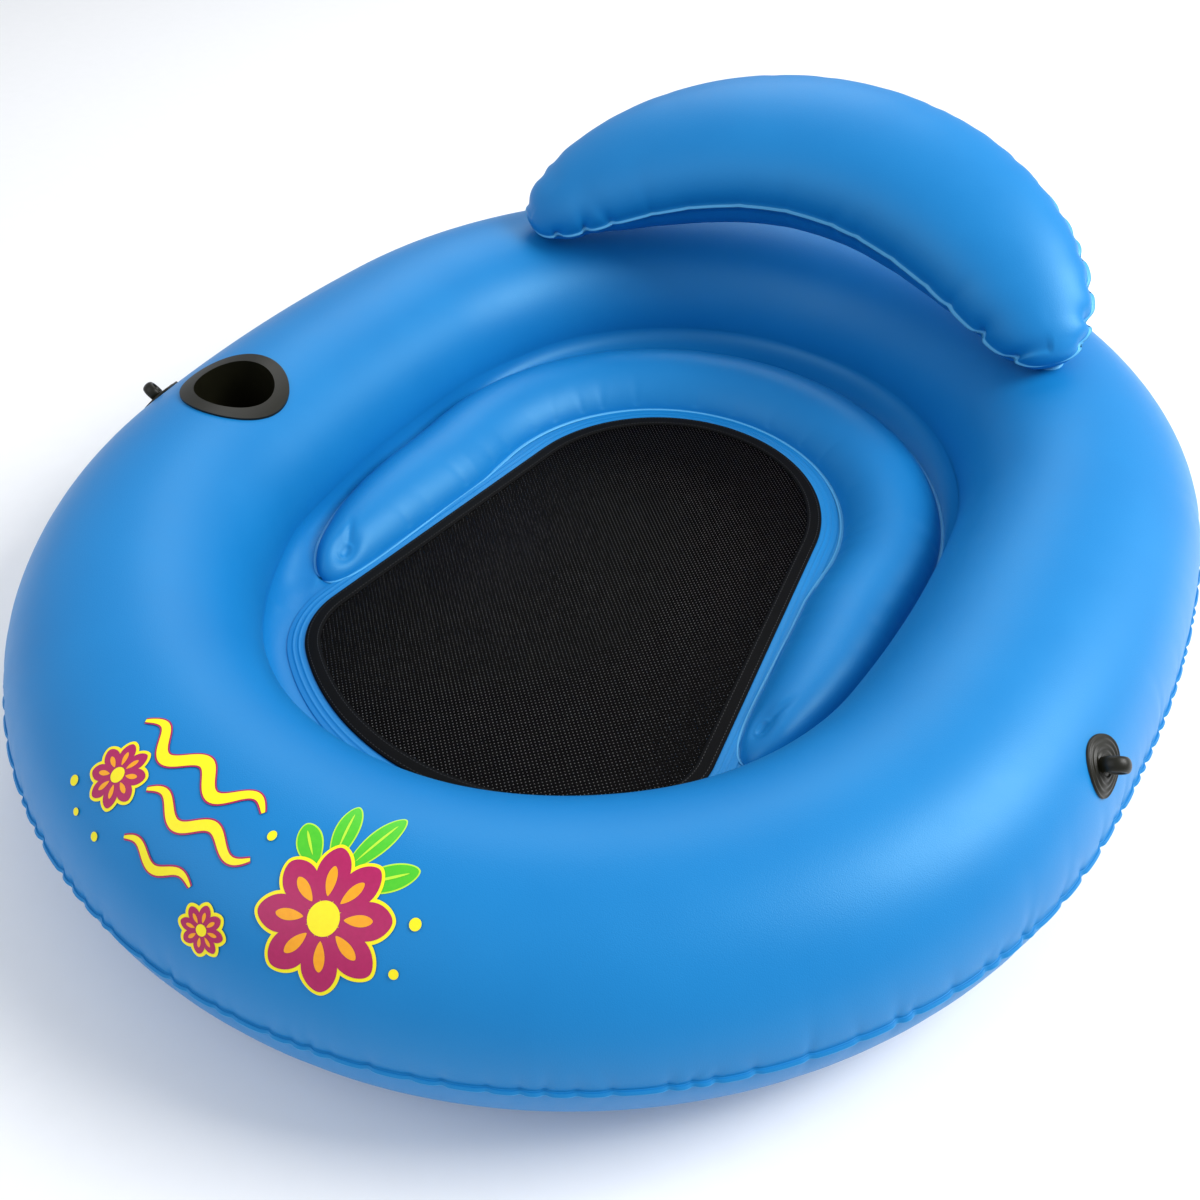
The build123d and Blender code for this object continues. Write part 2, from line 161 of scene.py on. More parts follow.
RING_LOW, RING_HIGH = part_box("ring_top_panel")
SEAM_MARGIN = 0.009
TRIMMED = 0.0034
MARGIN_DROOP = 0.55
MARGIN_RUFFLE = 0.0009
WELD_BEAD = 0.0006
TUBE_HALF_W = 0.1235
TUBE_HALF_H = 0.111
REST_FLAT = 0.002
END_RADIUS = 0.446
OUTER_SEAM_Z = 0.117
DECK_Z = RING_LOW.z
TUBE_Z = TUBE_HALF_H - REST_FLAT
HALF_WIDTH = RING_HIGH.x - SEAM_MARGIN - TUBE_HALF_W
HALF_LENGTH = RING_HIGH.y - SEAM_MARGIN - TUBE_HALF_W
SIDE_RADIUS = ((HALF_WIDTH**2 + HALF_LENGTH**2 - 2 * HALF_LENGTH * END_RADIUS)
               / (2 * (HALF_WIDTH - END_RADIUS)))
END_Y = HALF_LENGTH - END_RADIUS
SIDE_X = SIDE_RADIUS - HALF_WIDTH
SIDE_ANGLE = math.atan2(END_Y, SIDE_X)
SIDE_LENGTH = 2 * SIDE_RADIUS * SIDE_ANGLE
END_LENGTH = END_RADIUS * (math.pi - 2 * SIDE_ANGLE)
ROUND = 2 * (SIDE_LENGTH + END_LENGTH)
OUTER_SEAM = math.asin((OUTER_SEAM_Z - TUBE_Z) / TUBE_HALF_H)
INNER_SEAM = math.pi - math.asin((DECK_Z - TUBE_Z) / TUBE_HALF_H)
RING_STATIONS = 2000
PUCKER_STEP = (0.011, 0.034)
PUCKER_WIDTH = 0.0026
PUCKER_DEPTH = 0.0021
PUCKER_REACH = (0.008, 0.040)


def oval(along):
    """Points and outward directions of the ring's centreline, along from the +X side."""
    along = np.mod(along + SIDE_LENGTH / 2, ROUND)
    starts = [0, SIDE_LENGTH, SIDE_LENGTH + END_LENGTH, 2 * SIDE_LENGTH + END_LENGTH]
    centres = [(-SIDE_X, 0), (0, END_Y), (SIDE_X, 0), (0, -END_Y)]
    radii = [SIDE_RADIUS, END_RADIUS, SIDE_RADIUS, END_RADIUS]
    angles = [-SIDE_ANGLE, SIDE_ANGLE, math.pi - SIDE_ANGLE, math.pi + SIDE_ANGLE]
    which = np.searchsorted(starts, along, side="right") - 1
    radius = np.take(radii, which)
    angle = np.take(angles, which) + (along - np.take(starts, which)) / radius
    out = np.stack([np.cos(angle), np.sin(angle)], -1)
    return np.take(centres, which, axis=0) + out * radius[..., None], out


def slow_waves(along, angle):
    """The unevenness of hand-guided welding and air, well under a millimetre."""
    u = 2 * np.pi * along / ROUND
    return 0.00035 * (np.sin(5 * u + 1.3) * np.cos(2 * angle + 0.4)
                      + 0.8 * np.sin(11 * u + 0.7) * np.cos(3 * angle - 1.1))


def on_tube(along, angle, lift=0.0):
    """Points on the ring's skin: along its centreline, angle round its section from outwards."""
    along, angle = np.broadcast_arrays(np.asarray(along, float), np.asarray(angle, float))
    middle, out = oval(along)
    across, height = np.cos(angle) / TUBE_HALF_W, np.sin(angle) / TUBE_HALF_H
    long = np.hypot(across, height)
    lift = lift + slow_waves(along, angle)
    reach = TUBE_HALF_W * np.cos(angle) + lift * across / long
    z = TUBE_Z + TUBE_HALF_H * np.sin(angle) + lift * height / long
    return np.concatenate([middle + out * reach[..., None], np.maximum(z, 0)[..., None]], -1)


def pucker_list(seed, length, steps, reaches):
    """Places along a seam where the film gathers, with each crease's reach, depth and lean."""
    chance = np.random.default_rng(seed)
    places = np.cumsum(chance.uniform(*steps, int(length / steps[0])))
    places = places[places < length - steps[0]]
    return [(p, chance.uniform(*reaches) * chance.uniform(0.4, 1.0),
             chance.uniform(0.35, 1.0), chance.uniform(-0.35, 0.35)) for p in places]


def puckers(along, away, length, creases, width, depth):
    """Lift of the film at a distance away from the seam: creases, with small swells between."""
    places = np.array([crease[0] for crease in creases])
    ends = np.concatenate([[places[-1] - length], places, [places[0] + length]])
    cell = np.clip(np.searchsorted(ends, along) - 1, 0, len(ends) - 2)
    part = (along - ends[cell]) / (ends[cell + 1] - ends[cell])
    lift = 0.3 * depth * (np.sin(np.pi * np.clip(part, 0, 1)) - 0.6) * np.exp(-away / 0.014)
    for place, reach, strength, lean in creases:
        gap = np.mod(along - place - lean * away + length / 2, length) - length / 2
        spread = width * (1 + 1.2 * away / reach)
        lift = lift - depth * strength * np.exp(-(gap / spread)**2 - away / reach)
    return lift


def grid_faces(rows, columns, close_rows=False, close_columns=False):
    """Quads of a grid of points stored row by row."""
    i = np.arange(rows if close_rows else rows - 1)[:, None]
    j = np.arange(columns if close_columns else columns - 1)[None, :]
    after_i, after_j = (i + 1) % rows, (j + 1) % columns
    quads = [i * columns + j, after_i * columns + j, after_i * columns + after_j, i * columns + after_j]
    return np.stack([np.broadcast_to(q, (i.size, j.size)) for q in quads], -1).reshape(-1, 4).tolist()


# PVC film, calendered and satin-embossed: a clear blue with a soft, broad, faintly cyan shine
# and a grain of about half a millimetre, drawn at one so that it shows. Its dye varies a little.
FILM_BLUE = "1480C4"
FILM_DEEP = "0B76BA"
FILM_SHINE = "B4F0FF"
FILM_GRAIN = 0.001


def film_finish(name, light, deep, rough):
    finish = new_finish(name)
    place = add(finish, "ShaderNodeTexCoord").outputs["Object"]
    clouds = add(finish, "ShaderNodeTexNoise", {"Vector": place, "Scale": 1 / 0.12, "Detail": 3.0})
    colour = add(finish, "ShaderNodeMix", {"Factor": clouds.outputs["Fac"], "A": linear(deep),
                                           "B": linear(light)}, data_type="RGBA")
    grain = add(finish, "ShaderNodeTexNoise", {"Vector": place, "Scale": 1 / FILM_GRAIN,
                                               "Detail": 1.0})
    handled = add(finish, "ShaderNodeTexNoise", {"Vector": place, "Scale": 1 / 0.03})
    gloss = add(finish, "ShaderNodeMapRange", {"Value": handled.outputs["Fac"],
                                               "To Min": rough - 0.03, "To Max": rough + 0.04})
    bumps = add(finish, "ShaderNodeBump", {"Height": grain.outputs["Fac"], "Strength": 0.32,
                                           "Distance": 0.0004})
    shader = add(finish, "ShaderNodeBsdfPrincipled", {
        "Base Color": colour.outputs["Result"], "Roughness": gloss.outputs["Result"],
        "Normal": bumps.outputs["Normal"], "IOR": 1.53,
        "Specular Tint": linear(FILM_SHINE)})
    add(finish, "ShaderNodeOutputMaterial", {"Surface": shader.outputs[0]})
    return finish


film = film_finish("pvc_film_calendered", FILM_BLUE, FILM_DEEP, 0.43)

# The same film where the welding bar has pressed it: thinner, smoother and paler.
pressed_film = film_finish("pvc_film_bar_welded", "5DB0E2", "4FA6DA", 0.36)


def press(piece, across, chosen):
    """Gives a grid's faces the pressed finish, where their place across it is a chosen one."""
    piece.data.materials.append(pressed_film)
    place = np.arange(len(piece.data.polygons)) % across
    piece.data.polygons.foreach_set("material_index", np.isin(place, chosen).astype(int))


ring_creases = pucker_list(11, ROUND, PUCKER_STEP, PUCKER_REACH)
ring_along = np.arange(RING_STATIONS) * ROUND / RING_STATIONS
margin_out = np.array([1.0, 0.78, 0.56, 0.45, 0.34, 0.15])


def ring_skin(name, side, end_angle, rows, seam_lift):
    """One panel: its margin beyond the outer seam, then the film round to the inner seam."""
    turn = np.linspace(0, 1, rows)**1.6
    angles = OUTER_SEAM + side * turn * abs(end_angle - OUTER_SEAM)
    away = turn * abs(end_angle - OUTER_SEAM) * (TUBE_HALF_W + TUBE_HALF_H) / 2
    lift = puckers(ring_along[:, None], away[None, :], ROUND, ring_creases,
                   PUCKER_WIDTH, PUCKER_DEPTH)
    wall = on_tube(ring_along[:, None], angles[None, :], lift)
    sway = puckers(ring_along[:, None], np.zeros((1, 1)), ROUND, ring_creases,
                   PUCKER_WIDTH * 1.6, 1.0)
    seam, out = wall[:, :1, :], oval(ring_along)[1]
    reach = TRIMMED * margin_out[None, :] * (1 + 0.10 * sway)
    bead = WELD_BEAD * ((margin_out > 0.4) & (margin_out < 0.6))
    droop = -MARGIN_DROOP * TRIMMED * margin_out**2
    height = side * (seam_lift + bead) + droop + MARGIN_RUFFLE * sway * margin_out
    margin = np.concatenate([out[:, None, :] * reach[..., None],
                             np.broadcast_to(height[..., None], reach.shape + (1,))], -1)
    points = np.concatenate([seam + margin, wall], 1)
    faces = grid_faces(points.shape[0], points.shape[1], close_rows=True)
    if side < 0:
        faces = [face[::-1] for face in faces]
    return new_piece(name, points.reshape(-1, 3), faces, film)


def cut_round(piece, centre, axis, radius):
    """Takes out the faces within a radius of an axis, near its centre."""
    mesh = piece.data
    middles = np.empty(3 * len(mesh.polygons))
    mesh.polygons.foreach_get("center", middles)
    middles = middles.reshape(-1, 3) - np.array(centre)
    along_axis = middles @ np.array(axis)
    apart = np.linalg.norm(middles - along_axis[:, None] * np.array(axis), axis=1)
    gone = (apart < radius) & (np.abs(along_axis) < 2 * radius)
    kept = [tuple(face.vertices) for face, out in zip(mesh.polygons, gone) if not out]
    points = [tuple(vertex.co) for vertex in mesh.vertices]
    mesh.clear_geometry()
    mesh.from_pydata(points, [], kept)
    mesh.polygons.foreach_set("use_smooth", [True] * len(mesh.polygons))
    mesh.update()


TOP_ROWS = 54
BOTTOM_ROWS = 38
LOWER_MARGIN = 0.0007
margin_faces = len(margin_out) - 1
ring_top = ring_skin("ring_top_skin", 1, INNER_SEAM, TOP_ROWS, 0.0)
ring_bottom = ring_skin("ring_bottom_skin", -1, INNER_SEAM - 2 * math.pi, BOTTOM_ROWS, LOWER_MARGIN)
press(ring_bottom, BOTTOM_ROWS + margin_faces, range(margin_faces))
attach(ring_top, "float")
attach(ring_bottom, "float")
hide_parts("ring_top_panel")
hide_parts("ring_bottom_panel")


# ---- Deck sheet ------------------------------------------------------------------------------
# A sheet of the same film across the ring, welded to its inner seam and cut out for the mesh.
# It is flat under the sitter, and is drawn up to the ring's wall, most of all by the bolster.

FILM_T = 0.0012
SEAT_REAR = ((0.0, 0.088), 0.187)
SEAT_CORNER = ((0.1397, -0.2532), 0.095)
SEAT_FRONT = ((0.0, -0.0904), 0.3096)
BAND_WIDTH = 0.020
DECK_TOP = DECK_Z + 2 * FILM_T
SEAT_MIDDLE = np.array([0.0, -0.06])
DECK_RISE = 0.8


def touch_angle(first, second):
    """Direction in which a line lies against both of two circles."""
    (ax, ay), ar = first
    (bx, by), br = second
    apart = math.hypot(bx - ax, by - ay)
    return math.atan2(by - ay, bx - ax) + math.acos((ar - br) / apart)


def seat_edge(count):
    """Evenly spaced points and outward directions round the mesh, from the right side."""
    side = touch_angle(SEAT_REAR, SEAT_CORNER)
    corner = math.atan2(SEAT_CORNER[0][1] - SEAT_FRONT[0][1], SEAT_CORNER[0][0])
    left_corner = ((-SEAT_CORNER[0][0], SEAT_CORNER[0][1]), SEAT_CORNER[1])
    runs = [(SEAT_REAR, side, math.pi - side), (left_corner, math.pi - side, math.pi - corner),
            (SEAT_FRONT, math.pi - corner, 2 * math.pi + corner),
            (SEAT_CORNER, 2 * math.pi + corner, 2 * math.pi + side)]
    points, outs = [], []
    for (centre, radius), start, end in runs:
        angle = np.linspace(start, end, 90)
        out = np.stack([np.cos(angle), np.sin(angle)], -1)
        points.append(np.array(centre) + radius * out)
        outs.append(out)
    points, outs = np.concatenate(points + [points[0][:1]]), np.concatenate(outs + [outs[0][:1]])
    done = np.concatenate([[0], np.cumsum(np.linalg.norm(np.diff(points, axis=0), axis=1))])
    even = np.arange(count) * done[-1] / count
    return (np.stack([np.interp(even, done, points[:, k]) for k in (0, 1)], -1),
            np.stack([np.interp(even, done, outs[:, k]) for k in (0, 1)], -1))


BOLSTER_RADIUS = 0.3215
BOLSTER_HALF_W = 0.0535
BOLSTER_HEIGHT = 0.038
BOLSTER_Y = 0.082
BOLSTER_ARM = 0.308
BOLSTER_SPLAY = 0.0075
BOLSTER_ARC = 0.57
BOLSTER_STEP_UP = 0.0150
WALL_MEET = 0.0375
BLEND_TURN = 0.22
BLEND_START = 0.35


def bolster_line(part):
    """Middle of the bolster, its outward direction and half-width, from -1 (right tip) to 1."""
    part = np.asarray(part, float)
    turn = np.clip(part / BOLSTER_ARC, -1, 1) * math.pi / 2
    arm = np.clip((np.abs(part) - BOLSTER_ARC) / (1 - BOLSTER_ARC), 0, 1)
    splay = BOLSTER_SPLAY * np.sin(np.pi * np.clip((arm - 0.2) / 0.8, 0, 1)) - 0.006 * arm**2
    out = np.stack([-np.sin(turn), np.cos(turn)], -1)
    middle = np.stack([np.zeros_like(part), BOLSTER_Y - BOLSTER_ARM * arm], -1)
    half = BOLSTER_HALF_W * np.sqrt(1 - arm**2.4)
    return middle + (BOLSTER_RADIUS - BOLSTER_HALF_W + splay)[..., None] * out, out, arm, half


def polar_reach(points, angles):
    """How far a closed outline is from the middle of the seat, in each direction."""
    away = points - SEAT_MIDDLE
    angle = np.mod(np.arctan2(away[:, 1], away[:, 0]), 2 * np.pi)
    order = np.argsort(angle)
    return np.interp(angles, angle[order], np.linalg.norm(away, axis=1)[order], period=2 * np.pi)


deck_angles = np.arange(720) * 2 * np.pi / 720
edge_points, edge_outs = seat_edge(900)
deck_in = polar_reach(edge_points + (BAND_WIDTH - 0.002) * edge_outs, deck_angles)
round_oval = np.linspace(0, ROUND, 2000, endpoint=False)
oval_points, oval_outs = oval(round_oval)


def wall_reach(height):
    """How far the ring's inner wall is from the middle of the seat at a height."""
    inset = TUBE_HALF_W * np.sqrt(1 - ((height - TUBE_Z) / TUBE_HALF_H)**2)
    near = polar_reach(oval_points - oval_outs * TUBE_HALF_W, deck_angles)
    far = polar_reach(oval_points - oval_outs * TUBE_HALF_W * 0.9, deck_angles)
    return near + (far - near) * (1 - inset / TUBE_HALF_W) / 0.1


bolster_middle, bolster_out, _, arm_half = bolster_line(np.linspace(-1, 1, 800))
outer_line = bolster_middle + bolster_out * arm_half[:, None] - SEAT_MIDDLE
bolster_angle = np.unwrap(np.arctan2(outer_line[:, 1], outer_line[:, 0]))
TIP_ANGLE = bolster_angle[0]
rear_angle = np.mod(deck_angles + np.pi / 2, 2 * np.pi) - np.pi / 2
bolster_reach = np.interp(rear_angle, bolster_angle, np.linalg.norm(outer_line, axis=1))


def beside_bolster(angle):
    """How much of the bolster is in a direction from the middle of the seat, from 0 to 1."""
    rear = np.mod(angle + np.pi / 2, 2 * np.pi) - np.pi / 2
    past = np.minimum(rear - TIP_ANGLE, np.pi - TIP_ANGLE - rear)
    inside = np.clip(past / BLEND_TURN + BLEND_START, 0, 1)
    return inside**2 * (3 - 2 * inside)


near_bolster = beside_bolster(deck_angles)
gap = wall_reach(DECK_TOP) - deck_in
curl = np.clip(gap - 0.007, 0.005, 0.036)
meet = near_bolster * WALL_MEET + (1 - near_bolster) * DECK_RISE * curl
deck_out = wall_reach(DECK_TOP + meet) + 0.0002
bend_start = near_bolster * (bolster_reach + 0.001) + (1 - near_bolster) * (deck_out - curl)
bend_start = np.minimum(bend_start, deck_out - 0.004)
step_up = near_bolster * BOLSTER_STEP_UP
flat = np.linspace(0, 1, 15)[None, :-1]
bend = np.sin(np.linspace(0, 1, 14) * np.pi / 2)[None, :]
inner = deck_in[:, None] + (bend_start - deck_in)[:, None] * flat
outer = bend_start[:, None] + (deck_out - bend_start)[:, None] * bend
rise = step_up[:, None] + (meet - step_up)[:, None] * (1 - np.sqrt(1 - bend**2))
reach = np.concatenate([inner, outer], 1)
lift = np.concatenate([step_up[:, None] * flat**3, rise], 1)
deck_points = np.concatenate([
    SEAT_MIDDLE + reach[..., None] * np.stack([np.cos(deck_angles), np.sin(deck_angles)], -1)[:, None],
    (DECK_TOP + lift)[..., None]], -1)
deck = new_piece("seat_deck_skin", deck_points.reshape(-1, 3),
                 [f[::-1] for f in grid_faces(*reach.shape, close_rows=True)], film)
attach(deck, "float")
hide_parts("seat_deck_sheet")


# ---- Bolster ---------------------------------------------------------------------------------
# A horseshoe of film welded to the deck along both edges, with its own air. It is fat round
# the sitter's back and rounds off at the ends of its arms, where an oval spot weld ties it
# to the deck beneath. Its outer weld lies higher than its inner one.

BOLSTER_LIP = 0.004
SPOT_WELD = (0.257, -0.188)
SPOT_HALF = (0.0050, 0.0090)
SPOT_DEPTH = 0.0095
SPOT_CREASE = 0.0030
BOLSTER_STATIONS = 720

part = np.linspace(-1, 1, BOLSTER_STATIONS)
part = np.sign(part) * (1 - (1 - np.abs(part))**1.5)
middle, out, arm, half_w = bolster_line(part)
height = BOLSTER_HEIGHT * (1 - arm**4)**(1 / 2.1)
across = np.sin(np.linspace(-0.5, 0.5, 41) * np.pi)
crown = (1 - across**2)**0.66
offset = half_w[:, None] * across[None, :]
bolster_length = 2 * BOLSTER_ARM + math.pi * BOLSTER_RADIUS
along = (part + 1) / 2 * bolster_length
bolster_creases = pucker_list(5, bolster_length, (0.035, 0.075), (0.012, 0.035))
from_edge = half_w[:, None] * (1 - np.abs(across))[None, :]
swell = puckers(along[:, None], from_edge, bolster_length, bolster_creases, 0.0042, 0.0013)
lift = height[:, None] * crown[None, :] + swell * (crown[None, :] > 0.15)
x, y = [(middle[:, None, :] + out[:, None, :] * offset[..., None])[..., k] for k in (0, 1)]
side_x = np.abs(x) - SPOT_WELD[0]
apart = np.hypot(side_x / SPOT_HALF[0], (y - SPOT_WELD[1]) / SPOT_HALF[1])
dent = SPOT_DEPTH * (np.exp(-(apart / 2.0)**2) - 0.14 * np.exp(-((apart - 1.0) / 0.22)**2))
crease_way = np.exp(-((side_x - 0.4 * (y - SPOT_WELD[1])) / 0.004)**2)
dent = dent + SPOT_CREASE * crease_way * np.exp(-((y - SPOT_WELD[1] - 0.020) / 0.012)**2)
lift = np.maximum(lift - dent, 0.0006)
near = beside_bolster(np.arctan2(y - SEAT_MIDDLE[1], x - SEAT_MIDDLE[0]))
base = BOLSTER_STEP_UP * near * ((across[None, :] + 1) / 2)**1.3
core = np.stack([x, y, DECK_TOP + 0.0003 + base + lift], -1)
lips = []
for side, column in ((-1, 0), (1, -1)):
    edge = core[:, column, :2]
    rows = []
    for part_out, bead in ((0.25, 0.0004), (0.5, 0.0013), (0.75, 0.0013), (1.0, 0.0002)):
        moved = edge + side * BOLSTER_LIP * part_out * out
        low = DECK_TOP + 0.0006 + bead + base[:, column]
        rows.append(np.concatenate([moved, low[:, None]], 1))
    lips.append(np.stack(rows if side > 0 else rows[::-1], 1))
shape = np.concatenate([lips[0], core, lips[1]], 1)
bolster = new_piece("bolster_skin", shape.reshape(-1, 3),
                    grid_faces(*shape.shape[:2]), film)
bolster_faces = shape.shape[1] - 1
press(bolster, bolster_faces, [0, 1, 2, 3] + list(range(bolster_faces - 4, bolster_faces)))
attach(bolster, "float")
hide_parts("bolster_top_panel")


# ---- Welded band round the mesh --------------------------------------------------------------
# A collar of thicker film that the mesh's tape is welded into. The welding bar leaves two
# low raised ribs round it.

RIB_PLACES = (0.0065, 0.0125)
RIB_HEIGHT = 0.0006
EDGE_STATIONS = 700

edge_points, edge_outs = seat_edge(EDGE_STATIONS)


def round_seat(name, profile, finish):
    """Carries a profile of (distance out from the mesh's edge, height) round the seat."""
    out, up = np.array(profile).T
    plan = edge_points[:, None, :] + edge_outs[:, None, :] * out[None, :, None]
    points = np.concatenate([plan, np.broadcast_to(up, plan.shape[:2])[..., None]], -1)
    faces = [f[::-1] for f in grid_faces(*plan.shape[:2], close_rows=True)]
    return new_piece(name, points.reshape(-1, 3), faces, finish)


band_out = np.linspace(-0.003, BAND_WIDTH, 47)
band_up = FILM_T + sum(RIB_HEIGHT * np.exp(-((band_out - place) / 0.0011)**2) for place in RIB_PLACES)
band_up = np.where(band_out > BAND_WIDTH - 0.0006, 0.0001, band_up)
band = round_seat("seat_weld_collar", list(zip(band_out, DECK_TOP + band_up)), film)
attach(band, "float")
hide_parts("seat_weld_band")


# ---- Mesh seat -------------------------------------------------------------------------------
# Black polyester mesh, warp-knitted and stretched flat in the tape. Its knots stand proud and
# catch the light in rows, and its holes are small enough that little shows through.

TAPE_WIDTH = 0.017
MESH_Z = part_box("mesh_seat_panel")[0].z
MESH_SIZE = [a - b for a, b in zip(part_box("mesh_seat_panel")[1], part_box("mesh_seat_panel")[0])]
KNOT_STEP = 0.0055
KNOT_HALF = 0.0020
KNOT_PROUD = 0.0010

# Polyester yarn, solution-dyed black: nearly matt, with a faint brown cast where it catches light.
yarn = new_finish("polyester_mesh_knitted")
place = add(yarn, "ShaderNodeTexCoord").outputs["Object"]
patches = add(yarn, "ShaderNodeTexNoise", {"Vector": place, "Scale": 1 / 0.02, "Detail": 2.0})
black = add(yarn, "ShaderNodeMix", {"Factor": patches.outputs["Fac"], "A": linear("020202"),
                                    "B": linear("040303")}, data_type="RGBA")
threads = add(yarn, "ShaderNodeTexWave", {"Vector": place, "Scale": 0.35 / 0.0006,
                                          "Distortion": 1.0}, bands_direction="DIAGONAL")
twist = add(yarn, "ShaderNodeBump", {"Height": threads.outputs["Fac"], "Strength": 0.3,
                                     "Distance": 0.0002})
shader = add(yarn, "ShaderNodeBsdfPrincipled", {
    "Base Color": black.outputs["Result"], "Roughness": 0.6, "Normal": twist.outputs["Normal"],
    "Specular IOR Level": 0.05})
add(yarn, "ShaderNodeOutputMaterial", {"Surface": shader.outputs[0]})

knots_x = int(MESH_SIZE[0] / KNOT_STEP) + 2
knots_y = int(MESH_SIZE[1] / (KNOT_STEP * 0.5)) + 2
mesh_edge = polar_reach(edge_points - edge_outs * TAPE_WIDTH * 0.3, deck_angles)
centre_y = (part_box("mesh_seat_panel")[0].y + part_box("mesh_seat_panel")[1].y) / 2
kept = {}
mesh_points, mesh_faces = [], []
diagonal = KNOT_STEP / 2
for row in range(knots_y):
    for column in range(knots_x):
        x = (column - knots_x / 2 + 0.5 * (row % 2)) * KNOT_STEP
        y = centre_y + (row - knots_y / 2) * diagonal
        away = np.array([x, y]) - SEAT_MIDDLE
        turn = math.atan2(away[1], away[0]) % (2 * math.pi)
        if math.hypot(*away) > np.interp(turn, deck_angles, mesh_edge, period=2 * math.pi):
            continue
        kept[2 * column + row % 2, row] = first = len(mesh_points)
        h = KNOT_HALF
        sink = MESH_Z + 0.0004
        mesh_points += [(x, y, sink + KNOT_PROUD), (x + h, y, sink), (x, y + h, sink),
                        (x - h, y, sink), (x, y - h, sink)]
        mesh_faces += [(first, first + k, first + k % 4 + 1) for k in (1, 2, 3, 4)]
for (column, row), first in kept.items():
    right, left = kept.get((column + 1, row + 1)), kept.get((column - 1, row + 1))
    if right is not None:
        mesh_faces.append((first + 1, right + 4, right + 3, first + 2))
    if left is not None:
        mesh_faces.append((first + 2, left + 1, left + 4, first + 3))
net = new_piece("mesh_seat_net", mesh_points, mesh_faces, yarn)
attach(net, "float")
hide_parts("mesh_seat_panel")


# ---- Binding tape ----------------------------------------------------------------------------
# Grosgrain tape in charcoal, folded over the mesh's raw edge and sewn with two rows of
# lockstitch, then welded under the collar.

STITCH_STEP = 0.0042
STITCH_ROWS = (-0.0035, -0.0135)

# Woven polyester tape: a fine uneven weave, a little paler than the mesh.
tape_weave = new_finish("polyester_tape_woven")
place = add(tape_weave, "ShaderNodeTexCoord").outputs["Object"]
wear = add(tape_weave, "ShaderNodeTexNoise", {"Vector": place, "Scale": 1 / 0.015, "Detail": 3.0})
grey = add(tape_weave, "ShaderNodeMix", {"Factor": wear.outputs["Fac"], "A": linear("050606"),
                                         "B": linear("0B0A0A")}, data_type="RGBA")
weave = add(tape_weave, "ShaderNodeTexNoise", {"Vector": place, "Scale": 1 / 0.0008})
ridges = add(tape_weave, "ShaderNodeBump", {"Height": weave.outputs["Fac"], "Strength": 0.5,
                                            "Distance": 0.0004})
shader = add(tape_weave, "ShaderNodeBsdfPrincipled", {
    "Base Color": grey.outputs["Result"], "Roughness": 0.62, "Normal": ridges.outputs["Normal"],
    "Specular IOR Level": 0.08})
add(tape_weave, "ShaderNodeOutputMaterial", {"Surface": shader.outputs[0]})

tape_low, tape_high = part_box("mesh_binding_tape")
edge_points, edge_outs = seat_edge(1100)
half_t = (tape_high.z - tape_low.z) / 2
profile = []
for k in range(15):
    lean = math.pi * k / 14
    profile.append((-TAPE_WIDTH / 2 + TAPE_WIDTH / 2 * math.copysign(abs(math.cos(lean))**0.5,
                                                                      math.cos(lean)),
                    tape_low.z + half_t + half_t * math.sin(lean)**0.7))
tape = round_seat("mesh_tape_fold", profile, tape_weave)
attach(tape, "float")
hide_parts("mesh_binding_tape")

# Bonded polyester thread: glossier than the tape it sinks into.
thread = new_finish("polyester_thread_bonded")
place = add(thread, "ShaderNodeTexCoord").outputs["Object"]
strand = add(thread, "ShaderNodeTexNoise", {"Vector": place, "Scale": 1 / 0.0006})
dark = add(thread, "ShaderNodeMix", {"Factor": strand.outputs["Fac"], "A": linear("101010"),
                                     "B": linear("262625")}, data_type="RGBA")
shader = add(thread, "ShaderNodeBsdfPrincipled", {"Base Color": dark.outputs["Result"],
                                                  "Roughness": 0.4})
add(thread, "ShaderNodeOutputMaterial", {"Surface": shader.outputs[0]})

seam_points, seam_outs = seat_edge(5000)
seam_length = np.linalg.norm(np.diff(seam_points, axis=0), axis=1).sum()
stitch_points, stitch_faces = [], []
for row in STITCH_ROWS:
    for k in range(int(seam_length / STITCH_STEP)):
        at = int(k * STITCH_STEP / seam_length * 5000) % 5000
        middle, out = seam_points[at] + row * seam_outs[at], seam_outs[at]
        ahead = np.array([-out[1], out[0]])
        low = tape_high.z - 0.0003
        first = len(stitch_points)
        for step, width, rise in ((-1, 0.3, 0.0), (-0.5, 1, 0.0006), (0.5, 1, 0.0006), (1, 0.3, 0.0)):
            spot = middle + ahead * step * STITCH_STEP * 0.38
            for side, top in ((-1, 0), (0, 1), (1, 0)):
                moved = spot + out * side * width * 0.0005
                stitch_points.append((moved[0], moved[1], low + rise * top))
        stitch_faces += [[first + i for i in face] for face in grid_faces(4, 3)]
stitches = new_piece("tape_stitches", stitch_points, stitch_faces, thread)
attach(stitches, "float")


# ---- Pillow ----------------------------------------------------------------------------------
# A crescent cushion of two film panels welded edge to edge, blown up hard and raised behind
# the sitter's head. Its flat-cut ends gather into deep puckers along the seam, its underside
# is fuller towards the sitter, and a small patch under each end is welded to the ring.

PILLOW_Y = 0.488
PILLOW_Z = 0.352
PILLOW_TILT = math.radians(27)
PILLOW_RADIUS = 0.420
PILLOW_HALF_ARC = math.radians(55.5)
PILLOW_HALF_W = 0.098
PILLOW_HALF_T = 0.055
PILLOW_UNDER_T = 0.080
PILLOW_DROOP = 0.044
PILLOW_FULLNESS = 2.5
PILLOW_MARGIN = 0.0045
PILLOW_STATIONS = 460
GATHER_WIDTH = 0.0050
GATHER_DEPTH = 0.0105
PILLOW_DOME = 34

